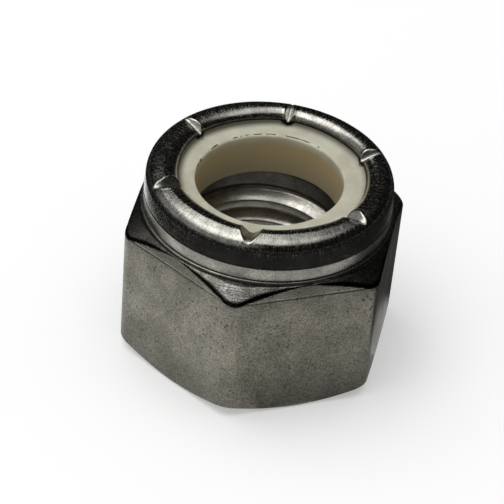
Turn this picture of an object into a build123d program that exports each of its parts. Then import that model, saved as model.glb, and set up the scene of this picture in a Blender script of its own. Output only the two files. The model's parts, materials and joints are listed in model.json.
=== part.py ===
from build123d import *
from math import cos, radians, sin, tan
import os

# Nylon insert lock nut, 1/2-13 size: a hexagon body with a collar rolled over a nylon ring.
#
# All sizes are in millimetres. The bearing face lies on Z = 0 with its centre at the origin, the
# thread runs along +Z, and two corners of the hexagon lie on the X axis.

# Hexagon
HEIGHT = 15.14                # bearing face to the crown of the rolled bead
ACROSS_FLATS = 19.05
CORNER_RADIUS = 1.5           # rounding of the six upright corners
BEARING_SETBACK = 0.20        # flat to the circle where the lower chamfer starts
BOTTOM_CHAMFER_ANGLE = 30.0   # from the bearing face
TOP_CHAMFER_ANGLE = 38.0      # from the bearing face
FLAT_RELIEF_ANGLE = 2.0       # lean of each flat above its forming line

# Collar
COLLAR_HEIGHT = 3.49          # top of the upper chamfer to the crown
FOOT_SETBACK = 0.10           # flat to the edge of the step at the collar's foot
FOOT_HEIGHT = 0.14            # height of that step
FOOT_FILLET_RADIUS = 0.10     # step to wall
COLLAR_SETBACK = 0.30         # flat to the collar's wall
COLLAR_WALL = 0.975
CRIMP_LINE_DROP = 2.19        # crown down to the line where the crimping die stopped
CRIMP_STEP = 0.03             # depth of the step at that line

# Rolled bead
SHOULDER_RADIUS = 0.95        # outer rounding of the bead
SHOULDER_SWEEP = 75.0         # angle of that rounding
CROWN_BEND_RADIUS = 1.50      # flatter bend that follows it up to the crown
LIP_OVERHANG = 1.25           # counterbore wall to the inner edge of the lip
LIP_THICKNESS = 1.02          # crown to the top face of the insert
LIP_DROP = 0.68               # crown to the upper corner of the lip
LIP_EDGE_RADIUS = 0.14

# Stakes, V-shaped grooves with a round bottom, pressed across the bead
STAKE_COUNT = 6
STAKE_START_ANGLE = 2.0       # from the +X corner to the first stake
STAKE_NOSE_RADIUS = 0.25
STAKE_HALF_ANGLE = 40.0       # side of the groove from its middle plane
STAKE_BEND_RADIUS = 0.98      # curve of the groove's bottom, from the outside over the crown
STAKE_CENTRE_INSET = 0.70     # wall of the bead to the centre of that curve
STAKE_CENTRE_DROP = 1.33      # crown to the centre of that curve
STAKE_SWING = 110.0           # from level with the centre, up and over the crown
STAKE_RUN = 1.6               # straight slope that follows the swing, down over the lip
STAKE_EDGE_RADIUS = 0.05

# Thread, left plain at its minor diameter
MINOR_DIAMETER = 10.80
COUNTERSINK_WIDTH = 1.10      # radial width of the 90 degree countersink in the bearing face
SEAT_COUNTERSINK_WIDTH = 0.40  # radial width of the one in the floor of the insert's seat

# Insert
INSERT_HEIGHT = 3.40          # floor of its seat to its flat top face
INSERT_BORE_ALLOWANCE = 0.05  # minor radius of the thread to the insert's bore
INSERT_CLEARANCE = 0.02       # radial gap between the insert and its counterbore
INSERT_CORNER_RADIUS = 0.60   # outer corners, followed by the counterbore's upper corner
INSERT_BORE_EDGE_RADIUS = 0.15
RIM_RISE = 0.30               # nylon squeezed up against the lip
RIM_WIDTH = 0.60              # radial width of that rim, with its hollow face
RIM_LAND = 0.06               # flat top of the rim

# Derived radii
flat_radius = ACROSS_FLATS / 2
corner_radius = (flat_radius - CORNER_RADIUS) / cos(radians(30)) + CORNER_RADIUS
bearing_radius = flat_radius - BEARING_SETBACK
foot_radius = flat_radius - FOOT_SETBACK
collar_radius = flat_radius - COLLAR_SETBACK
seat_radius = collar_radius - COLLAR_WALL
lip_radius = seat_radius - LIP_OVERHANG
bead_radius = collar_radius - CRIMP_STEP
shoulder_radius = bead_radius - SHOULDER_RADIUS
bend_shift = CROWN_BEND_RADIUS - SHOULDER_RADIUS
crown_radius = shoulder_radius - bend_shift * cos(radians(SHOULDER_SWEEP))
minor_radius = MINOR_DIAMETER / 2
countersink_radius = minor_radius + COUNTERSINK_WIDTH
seat_countersink_radius = minor_radius + SEAT_COUNTERSINK_WIDTH
insert_radius = seat_radius - INSERT_CLEARANCE
insert_bore_radius = minor_radius + INSERT_BORE_ALLOWANCE
rim_radius = lip_radius - INSERT_CLEARANCE

# Derived heights
hexagon_top = HEIGHT - COLLAR_HEIGHT
forming_line = hexagon_top - (corner_radius - foot_radius) * tan(radians(TOP_CHAMFER_ANGLE))
crimp_line = HEIGHT - CRIMP_LINE_DROP
shoulder_height = HEIGHT - CROWN_BEND_RADIUS + bend_shift * sin(radians(SHOULDER_SWEEP))
insert_top = HEIGHT - LIP_THICKNESS
seat_floor = insert_top - INSERT_HEIGHT
rim_top = insert_top + RIM_RISE


def cone_rise(radius, start_radius, angle):
    """Height that a chamfer cone gains from its start circle out to a radius."""
    return (radius - start_radius) * tan(radians(angle))


def is_groove(face):
    """True for a side of a stake, a cone or a sloping plane, and for its nose, by its size."""
    if face.geom_type == GeomType.CONE:
        return face.center().Z > insert_top
    if face.geom_type == GeomType.PLANE:
        return face.center().Z > insert_top and 0.1 < abs(face.normal_at().Z) < 0.99
    if face.geom_type == GeomType.CYLINDER:
        return abs(face.radius - STAKE_NOSE_RADIUS) < 1e-6
    # A nose that follows the swing is no longer than the swing is wide; the bead's own bends are.
    longest = 2 * (STAKE_BEND_RADIUS + STAKE_NOSE_RADIUS)
    return face.geom_type == GeomType.TORUS and face.bounding_box().diagonal < longest


# ---- Punch for the stakes ------------------------------------------------------------------

# A wedge with a round nose, swung over the bead from outside and then run down over the lip.
swing_radius = bead_radius - STAKE_CENTRE_INSET
swing_height = HEIGHT - STAKE_CENTRE_DROP
nose_start = swing_radius + STAKE_BEND_RADIUS
side_start = nose_start + STAKE_NOSE_RADIUS * (1 - sin(radians(STAKE_HALF_ANGLE)))
side_offset = STAKE_NOSE_RADIUS * cos(radians(STAKE_HALF_ANGLE))
wedge_end = swing_radius + 2.4 * STAKE_BEND_RADIUS
wedge_offset = side_offset + (wedge_end - side_start) * tan(radians(STAKE_HALF_ANGLE))

with BuildPart() as stake_punch:
    with BuildSketch(Plane.XY.offset(swing_height)):
        with BuildLine():
            ThreePointArc((side_start, side_offset), (nose_start, 0), (side_start, -side_offset))
            Polyline(
                (side_start, -side_offset),
                (wedge_end, -wedge_offset),
                (wedge_end, wedge_offset),
                (side_start, side_offset),
            )
        make_face()
    revolve(axis=Axis((swing_radius, 0, swing_height), (0, -1, 0)), revolution_arc=STAKE_SWING)
    swing_end = stake_punch.faces().filter_by(GeomType.PLANE).sort_by(Axis.X)[0]
    extrude(swing_end, amount=STAKE_RUN)


# ---- nut_body ------------------------------------------------------------------------------

reach = corner_radius + 1.0   # radius outside every corner of the hexagon

with BuildPart() as nut_body:
    # Straight lower part of the hexagon, then the slightly leaning part above the forming line.
    with BuildSketch() as lower_hexagon:
        RegularPolygon(flat_radius, 6, major_radius=False)
        fillet(lower_hexagon.vertices(), CORNER_RADIUS)
    extrude(amount=forming_line)
    with BuildSketch(Plane.XY.offset(forming_line)) as upper_hexagon:
        RegularPolygon(flat_radius, 6, major_radius=False)
        fillet(upper_hexagon.vertices(), CORNER_RADIUS)
    extrude(amount=hexagon_top - forming_line, taper=FLAT_RELIEF_ANGLE)

    # Both ends are turned to cones, which leaves the arched edges on the flats.
    with BuildSketch(Plane.XZ) as chamfer_profile:
        with BuildLine():
            Polyline(
                (0, 0),
                (bearing_radius, 0),
                (reach, cone_rise(reach, bearing_radius, BOTTOM_CHAMFER_ANGLE)),
                (reach, hexagon_top - cone_rise(reach, foot_radius, TOP_CHAMFER_ANGLE)),
                (foot_radius, hexagon_top),
                (0, hexagon_top),
                close=True,
            )
        make_face()
    revolve(axis=Axis.Z, mode=Mode.INTERSECT)

    # Collar: step and fillet at the foot, straight wall, step of the crimping die, rolled bead.
    foot_top = hexagon_top + FOOT_HEIGHT
    lip_top = HEIGHT - LIP_DROP
    with BuildSketch(Plane.XZ) as collar_profile:
        with BuildLine():
            Polyline(
                (0, hexagon_top),
                (foot_radius, hexagon_top),
                (foot_radius, foot_top),
                (collar_radius + FOOT_FILLET_RADIUS, foot_top),
            )
            TangentArc(
                (collar_radius + FOOT_FILLET_RADIUS, foot_top),
                (collar_radius, foot_top + FOOT_FILLET_RADIUS),
                tangent=(-1, 0),
            )
            Polyline(
                (collar_radius, foot_top + FOOT_FILLET_RADIUS),
                (collar_radius, crimp_line),
                (bead_radius, crimp_line + CRIMP_STEP),
                (bead_radius, shoulder_height),
            )
            shoulder = CenterArc(
                (shoulder_radius, shoulder_height), SHOULDER_RADIUS, 0, SHOULDER_SWEEP
            )
            TangentArc(shoulder @ 1, (crown_radius, HEIGHT), tangent=shoulder % 1)
            TangentArc((crown_radius, HEIGHT), (lip_radius, lip_top), tangent=(-1, 0))
            Polyline(
                (lip_radius, lip_top),
                (lip_radius, insert_top),
                (0, insert_top),
                (0, hexagon_top),
            )
        make_face()
    revolve(axis=Axis.Z)
    lip_corner = nut_body.edges().filter_by(GeomType.CIRCLE).filter_by(
        lambda edge: abs(edge.radius - lip_radius) < 1e-6 and edge.center().Z > insert_top + 0.01
    )
    fillet(lip_corner, LIP_EDGE_RADIUS)

    # Bore: countersunk thread hole, and the insert's seat with the corner that the roll left.
    with BuildSketch(Plane.XZ) as bore_profile:
        with BuildLine():
            Polyline(
                (0, 0),
                (countersink_radius, 0),
                (minor_radius, COUNTERSINK_WIDTH),
                (minor_radius, seat_floor - SEAT_COUNTERSINK_WIDTH),
                (seat_countersink_radius, seat_floor),
                (seat_radius, seat_floor),
                (seat_radius, insert_top - INSERT_CORNER_RADIUS),
            )
            TangentArc(
                (seat_radius, insert_top - INSERT_CORNER_RADIUS),
                (seat_radius - INSERT_CORNER_RADIUS, insert_top),
                tangent=(0, 1),
            )
            Polyline(
                (seat_radius - INSERT_CORNER_RADIUS, insert_top),
                (0, insert_top),
                (0, 0),
            )
        make_face()
    revolve(axis=Axis.Z, mode=Mode.SUBTRACT)

    # Stakes: each groove leaves a thin tooth of the lip and dies out on the shoulder.
    with PolarLocations(0, STAKE_COUNT, start_angle=STAKE_START_ANGLE):
        add(stake_punch.part, mode=Mode.SUBTRACT)
    grooves = nut_body.faces(Select.LAST).filter_by(is_groove)
    groove_edges = ShapeList(edge for face in grooves for edge in face.edges())
    groove_rims = groove_edges.filter_by(
        lambda edge: groove_edges.count(edge) == 1 and edge.center().Z > insert_top + 0.01
    )
    fillet(groove_rims.sort_by(Axis.X), STAKE_EDGE_RADIUS)

nut_body.part.label = "nut_body"


# ---- nylon_insert --------------------------------------------------------------------------

with BuildPart() as nylon_insert:
    with BuildSketch(Plane.XZ) as insert_profile:
        with BuildLine():
            Polyline(
                (rim_radius - RIM_WIDTH, insert_top),
                (insert_bore_radius, insert_top),
                (insert_bore_radius, seat_floor),
                (insert_radius, seat_floor),
                (insert_radius, insert_top),
                (rim_radius, insert_top),
                (rim_radius, rim_top),
                (rim_radius - RIM_LAND, rim_top),
            )
            TangentArc(
                (rim_radius - RIM_WIDTH, insert_top),
                (rim_radius - RIM_LAND, rim_top),
                tangent=(1, 0),
            )
        make_face()
        outer_corners = insert_profile.vertices().group_by(Axis.X)[-1]
        fillet(outer_corners, INSERT_CORNER_RADIUS - INSERT_CLEARANCE)
        bore_corners = insert_profile.vertices().group_by(Axis.X)[0]
        fillet(bore_corners, INSERT_BORE_EDGE_RADIUS)
    revolve(axis=Axis.Z)

nylon_insert.part.label = "nylon_insert"


# ---- Files ---------------------------------------------------------------------------------

os.makedirs("parts", exist_ok=True)
for piece in (nut_body.part, nylon_insert.part):
    export_step(piece, f"parts/{piece.label}.step")
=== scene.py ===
"""Nylon insert lock nut: detailed skins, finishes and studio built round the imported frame.

Sizes are written in millimetres in the frame of the part: the bearing face lies on Z = 0, the
thread runs up +Z and two corners of the hexagon lie on the X axis. MM turns them into metres
where a mesh, a lamp or the camera is made.
"""

import json
import logging
import math
from dataclasses import dataclass, field
from enum import Enum

import bmesh
import bpy
import numpy as np
from mathutils import Matrix, Vector

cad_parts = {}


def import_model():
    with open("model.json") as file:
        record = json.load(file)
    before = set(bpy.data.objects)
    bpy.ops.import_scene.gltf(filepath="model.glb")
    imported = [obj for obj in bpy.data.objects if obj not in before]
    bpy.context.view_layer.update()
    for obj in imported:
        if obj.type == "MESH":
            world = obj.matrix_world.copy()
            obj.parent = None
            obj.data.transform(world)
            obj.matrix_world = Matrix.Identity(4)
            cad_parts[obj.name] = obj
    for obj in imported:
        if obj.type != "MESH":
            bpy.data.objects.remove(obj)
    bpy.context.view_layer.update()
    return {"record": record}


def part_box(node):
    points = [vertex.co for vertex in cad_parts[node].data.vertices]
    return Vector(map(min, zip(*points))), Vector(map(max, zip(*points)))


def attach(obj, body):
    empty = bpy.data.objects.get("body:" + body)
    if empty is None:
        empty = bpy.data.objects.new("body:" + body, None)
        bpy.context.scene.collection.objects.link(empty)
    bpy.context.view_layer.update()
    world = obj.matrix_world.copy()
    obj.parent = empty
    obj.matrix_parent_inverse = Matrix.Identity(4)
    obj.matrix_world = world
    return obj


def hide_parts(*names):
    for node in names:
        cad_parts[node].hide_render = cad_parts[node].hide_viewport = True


MM = 0.001
RIM_RISE = 0.30  # height of the nylon rim over the insert's flat top, in millimetres
BORE_ALLOWANCE = 0.05  # minor radius of the thread to the insert's bore
ROUNDING_SHARE = 0.45  # most of a run that a rounding at its end takes
JOIN_DISTANCE = 0.0002  # points nearer than this are one
TINY = 1e-9  # keeps a run without length from dividing by zero
PIT_CHANCE = 0.55  # share of the cells that a pit can lie in
MATT = 0.9  # roughness of the studio's paint
LOG = logging.getLogger("lock_nut")

Socket = bpy.types.NodeSocket
Colour = tuple[float, float, float]
Span = tuple[float, float]  # levels between which a mask goes from 0 to 1
Patches = tuple[float, float, float, float]  # levels of the grain, and the strengths they give


class Finish(Enum):
    """Finishes of the steel body; each value is a material slot of its mesh."""

    SATIN = 0
    BURNISHED = 1
    TURNED = 2
    THREADED = 3
    DRAWN = 4


# grime is a mark of painted shade: colour darkened where shade falls in hollows and between parts
MARKS = ("edge", "stake", "grime")  # values that a skin carries on its points for its finishes


# ---- Skins: rows of points carried round the axis ----------------------------------------------


@dataclass
class Strip:
    """One band of a turned skin, from its first row of points to its last.

    Attributes:
        points: rows of points round the axis, shape (rows, columns, 3), in millimetres.
        finish: finish of the band's faces.
        marks: strength of a mark from 0 to 1, of a shape that fits (rows, columns).
        turn_shift: rows that the band climbs in one turn, as a helix does.
    """

    points: np.ndarray
    finish: Finish
    marks: dict[str, np.ndarray] = field(default_factory=dict)
    turn_shift: int = 0

    def faces(self, first: int) -> np.ndarray:
        """Joins each row to the next with quads, and the last column to the first.

        Args:
            first: index of the strip's first point in the whole mesh.

        Returns:
            Four point indices for each face, turning so that it faces out of the solid.
        """
        rows, columns = self.points.shape[:2]
        grid = first + np.arange(rows * columns).reshape(rows, columns)
        last, start = grid[self.turn_shift:, -1], grid[: rows - self.turn_shift, 0]
        return np.concatenate([quads(grid[:, :-1], grid[:, 1:]), quads(last, start)])

    def mark(self, name: str) -> np.ndarray:
        """Strength of a mark at each point, zero where the strip doesn't carry it."""
        return np.broadcast_to(self.marks.get(name, 0.0), self.points.shape[:2]).ravel()


def quads(near: np.ndarray, far: np.ndarray) -> np.ndarray:
    """Four point indices for each face between the columns in near and those in far."""
    return np.stack([near[:-1], far[:-1], far[1:], near[1:]], axis=-1).reshape(-1, 4)


def spin(rows: np.ndarray, angles: np.ndarray) -> np.ndarray:
    """Places rows of (radius, height) at their angles: x is r cos a, y is r sin a, z is height.

    Args:
        rows: shape (rows, columns, 2), in millimetres.
        angles: angle of each column, in radians.

    Returns:
        Points of shape (rows, columns, 3).
    """
    radius, height = rows[..., 0], rows[..., 1]
    return np.stack([radius * np.cos(angles), radius * np.sin(angles), height], axis=-1)


def ring(radius: np.ndarray | float, height: np.ndarray | float, count: int) -> np.ndarray:
    """One row of (radius, height) with a value for each of count columns."""
    return np.stack([np.broadcast_to(radius, count), np.broadcast_to(height, count)], axis=-1)


def run(start: np.ndarray, end: np.ndarray, parts: int) -> np.ndarray:
    """Rows spaced evenly on the straight line from one row to another, ends included."""
    share = np.linspace(0.0, 1.0, parts + 1)[:, None, None]
    return start + (end - start) * share


def bend(start: np.ndarray, corner: np.ndarray, end: np.ndarray, parts: int) -> np.ndarray:
    """Rows on the parabola that leaves start towards corner and arrives at end from corner."""
    t = np.linspace(0.0, 1.0, parts + 1)[:, None, None]
    return (1 - t) ** 2 * start + 2 * t * (1 - t) * corner + t**2 * end


def edge_mark(parts: int) -> np.ndarray:
    """Strength over the rows of a rounding, for wear and painted edge shade: a bell that is zero where
    the rounding ends.
    """
    return np.sin(np.linspace(0.0, math.pi, parts + 1))[:, None] ** 2


@dataclass
class Corner:
    """A corner of a turned profile.

    Attributes:
        point: (radius, height) at each column, shape (columns, 2).
        rounding: length of the rounding along both runs that meet here.
        finish: finish of the rounding and of the run that leaves the corner.
        parts: divisions of the run that leaves the corner.
        grime: painted shade on the rounding and on the run that leaves the corner, from 0 to 1.
    """

    point: np.ndarray
    rounding: float
    finish: Finish
    parts: int = 2
    grime: float = 0.0


def profile(count: int, *rows: tuple) -> list[Corner]:
    """Corners from rows of radius, height, rounding, finish and, if not usual, parts and painted shade.
    """
    return [Corner(ring(radius, height, count), *rest) for radius, height, *rest in rows]


def trace(corners: list[Corner], angles: np.ndarray, bend_parts: int = 5) -> list[Strip]:
    """Turns a list of corners into strips, one for each rounding and one for each run.

    Each corner is replaced by a parabola whose ends lie on the two runs, at the rounding length
    or at ROUNDING_SHARE of the run where the run is short.

    Args:
        corners: the profile's corners in order; the first and the last are its plain ends.
        angles: angle of each column, in radians.
        bend_parts: divisions of each rounding.

    Returns:
        The strips in order, each starting on the row where the one before ended.
    """
    strips: list[Strip] = []
    leave = corners[0].point
    for here, there in zip(corners[:-1], corners[1:]):
        span = there.point - here.point
        length = np.linalg.norm(span, axis=-1, keepdims=True)
        along = span / np.maximum(length, TINY)
        if here.rounding > 0.0:
            depart = here.point + along * np.minimum(here.rounding, ROUNDING_SHARE * length)
            rows = bend(leave, here.point, depart, bend_parts)
            marks = {"edge": edge_mark(bend_parts), "grime": np.array(here.grime)}
            strips.append(Strip(spin(rows, angles), here.finish, marks))
            leave = depart
        arrive = there.point - along * np.minimum(there.rounding, ROUNDING_SHARE * length)
        rows = run(leave, arrive, here.parts)
        strips.append(Strip(spin(rows, angles), here.finish, {"grime": np.array(here.grime)}))
        leave = arrive
    return strips


def make_piece(
    name: str, strips: list[Strip], materials: list[bpy.types.Material],
) -> bpy.types.Object:
    """Builds one closed, smooth-shaded mesh object from strips that follow each other.

    Args:
        name: name of the piece.
        strips: the whole profile, round to where it started.
        materials: materials in the order of the strips' finishes.

    Returns:
        The new object, at the origin, with the strips' marks on its points.
    """
    points = np.concatenate([strip.points.reshape(-1, 3) for strip in strips])
    starts = np.cumsum([0] + [strip.points.shape[0] * strip.points.shape[1] for strip in strips])
    faces = [strip.faces(int(start)) for strip, start in zip(strips, starts)]
    slots = np.concatenate([np.full(len(f), s.finish.value) for f, s in zip(faces, strips)])
    mesh = bpy.data.meshes.new(name)
    mesh.from_pydata(points * MM, [], np.concatenate(faces).tolist())
    mesh.polygons.foreach_set("material_index", slots.astype(np.int32))
    for name_of_mark in MARKS:
        values = np.concatenate([strip.mark(name_of_mark) for strip in strips])
        mesh.attributes.new(name_of_mark, "FLOAT", "POINT").data.foreach_set("value", values)
    joined = bmesh.new()
    joined.from_mesh(mesh)
    bmesh.ops.remove_doubles(joined, verts=joined.verts, dist=JOIN_DISTANCE * MM)
    joined.to_mesh(mesh)
    joined.free()
    mesh.polygons.foreach_set("use_smooth", np.ones(len(mesh.polygons), dtype=bool))
    for material in materials:
        mesh.materials.append(material)
    piece = bpy.data.objects.new(name, mesh)
    bpy.context.scene.collection.objects.link(piece)
    return piece


# ---- Steel body --------------------------------------------------------------------------------


@dataclass(frozen=True)
class Columns:
    """Angles of the body's columns, closer together where corners and stakes lie."""

    per_sector: int = 60
    crowding: float = 3.0
    crowd_width: float = 7.0  # degrees either side of each corner
    samples: int = 2001

    def angles(self) -> np.ndarray:
        """Spaces the columns by the density 1 + c exp(-(a/w)^2) in each sector of 60 degrees.

        Returns:
            Angles over one turn, in radians and in order.
        """
        local = np.linspace(-30.0, 30.0, self.samples)
        density = 1.0 + self.crowding * np.exp(-((local / self.crowd_width) ** 2))
        share = np.concatenate([[0.0], np.cumsum((density[1:] + density[:-1]) / 2)])
        steps = (np.arange(self.per_sector) + 0.5) / self.per_sector
        sector = np.interp(steps, share / share[-1], local)
        turn = (sector[None, :] + 60.0 * np.arange(6)[:, None]).ravel() % 360.0
        return np.radians(np.sort(turn))


@dataclass
class Hexagon:
    """Hexagonal part of the body: flats, chamfer cones and the faint forming line."""

    flat_radius: float
    top: float
    corner_radius: float = 1.5
    bearing_setback: float = 0.20
    bottom_chamfer: float = 30.0
    top_chamfer: float = 38.0
    foot_setback: float = 0.10
    relief_angle: float = 2.0
    bearing_rounding: float = 0.06
    lower_rounding: float = 0.16
    edge_rounding: float = 0.36
    edge_drop: float = 0.26  # most of that rounding on the wall's side
    edge_parts: int = 8
    edge_share: float = 0.9  # and most of the cone that it takes
    edge_passes: int = 4  # the upper edge's height and the wall's lean settle in so many passes
    wall_lead: float = 0.8  # up the wall to a corner that only gives the rounding its direction
    shortest_cone: float = 0.08  # the cone's length counts as this much at least
    crease_depth: float = 0.022
    crease_width: float = 0.13
    crease_fade: float = 0.25  # the crease ends where the upper edge comes this near
    crease_rows: tuple[float, ...] = (-3.0, -1.5, -0.9, -0.5, -0.2, 0.0, 0.2, 0.5, 0.9, 1.5, 3.0)
    wall_rows: tuple[float, float, int] = (0.3, 10.2, 12)  # lowest, highest and how many

    def wall(self, angles: np.ndarray, height: np.ndarray | float) -> np.ndarray:
        """Radius of the rounded hexagon at each angle, with the flats leaning in near the top.

        The flat is a straight line, apothem over cosine; each corner is a circle tangent to its
        two flats, met by the ray at the larger root of a quadratic.

        Args:
            angles: angles round the axis, in radians.
            height: height of the section, one value or one for each angle.

        Returns:
            Radius for each angle.
        """
        lean = math.tan(math.radians(self.relief_angle))
        apothem = self.flat_radius - np.maximum(0.0, height - self.forming_line) * lean
        off_normal = np.mod(angles, math.pi / 3) - math.pi / 6
        off_corner = math.pi / 6 - np.abs(off_normal)
        centre = (apothem - self.corner_radius) / math.cos(math.pi / 6)
        across = np.maximum(self.corner_radius**2 - (centre * np.sin(off_corner)) ** 2, 0.0)
        arc = centre * np.cos(off_corner) + np.sqrt(across)
        tangent_at = (apothem - self.corner_radius) * math.tan(math.pi / 6)
        on_arc = apothem * np.tan(np.abs(off_normal)) > tangent_at
        return np.where(on_arc, arc, apothem / np.cos(off_normal))

    @property
    def foot_radius(self) -> float:
        """Radius where the upper chamfer ends at the collar's foot."""
        return self.flat_radius - self.foot_setback

    @property
    def forming_line(self) -> float:
        """Height where the upper chamfer meets the corners, and where the flats start to lean."""
        corner = (self.flat_radius - self.corner_radius) / math.cos(math.pi / 6) + self.corner_radius
        return self.top - (corner - self.foot_radius) * math.tan(math.radians(self.top_chamfer))

    def strips(self, angles: np.ndarray, inner: float) -> list[Strip]:
        """Skin from the middle of the bearing face, out and up to the end of the upper cone.

        The wall's rows stand at fixed heights, held between the two chamfers. The forming line
        is a groove with a bell-shaped section, which fades towards the corners.

        Args:
            angles: angle of each column, in radians.
            inner: radius on the bearing face where the skin starts.

        Returns:
            Strips that end at the foot's radius and the hexagon's top.
        """
        count = len(angles)
        rise_low = math.tan(math.radians(self.bottom_chamfer))
        rise_top = math.tan(math.radians(self.top_chamfer))
        bearing = self.flat_radius - self.bearing_setback
        low = (self.wall(angles, 0.0) - bearing) * rise_low
        high = np.full(count, self.forming_line)
        for _ in range(self.edge_passes):
            high = self.top - (self.wall(angles, high) - self.foot_radius) * rise_top
        low_edge = ring(self.wall(angles, 0.0), low, count)
        high_edge = ring(self.wall(angles, high), high, count)
        base = profile(
            count,
            (inner, 0.0, 0.0, Finish.TURNED, 3),
            (bearing, 0.0, self.bearing_rounding, Finish.TURNED, 2),
            (low_edge[:, 0], low, self.lower_rounding, Finish.SATIN, 1),
            (low_edge[:, 0], low + self.wall_lead, 0.0, Finish.SATIN, 1),
        )
        strips = trace(base, angles)[:-1]
        wall_start = strips[-1].points[-1]
        cone = ring(self.foot_radius, self.top, count) - high_edge
        cone_length = np.linalg.norm(cone, axis=-1, keepdims=True)
        longest = self.edge_share * np.maximum(cone_length, self.shortest_cone)
        rounding = np.minimum(self.edge_rounding, longest)
        wall_end = high - np.minimum(rounding, self.edge_drop)[:, 0]
        near = np.array(self.crease_rows) * self.crease_width
        levels = np.concatenate([np.linspace(*self.wall_rows), self.forming_line + near])
        height = np.clip(levels[:, None], wall_start[:, 2], wall_end)
        height = np.concatenate([wall_start[None, :, 2], height, wall_end[None]])
        fade = np.clip((high - self.forming_line) / self.crease_fade, 0.0, 1.0)
        groove = np.exp(-(((height - self.forming_line) / (0.5 * self.crease_width)) ** 2))
        radius = self.wall(angles, height) - self.crease_depth * fade * groove
        wall = np.stack([radius, height], axis=-1)
        strips.append(Strip(spin(wall, angles), Finish.SATIN))
        held = np.minimum(rounding, ROUNDING_SHARE * cone_length)
        arrive = high_edge + cone / np.maximum(cone_length, TINY) * held
        corner = bend(wall[-1], high_edge, arrive, self.edge_parts)
        marks = {"edge": edge_mark(self.edge_parts)}
        strips.append(Strip(spin(corner, angles), Finish.TURNED, marks))
        cone_rows = run(arrive, ring(self.foot_radius, self.top, count), 4)
        strips.append(Strip(spin(cone_rows, angles), Finish.TURNED))
        return strips


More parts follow.
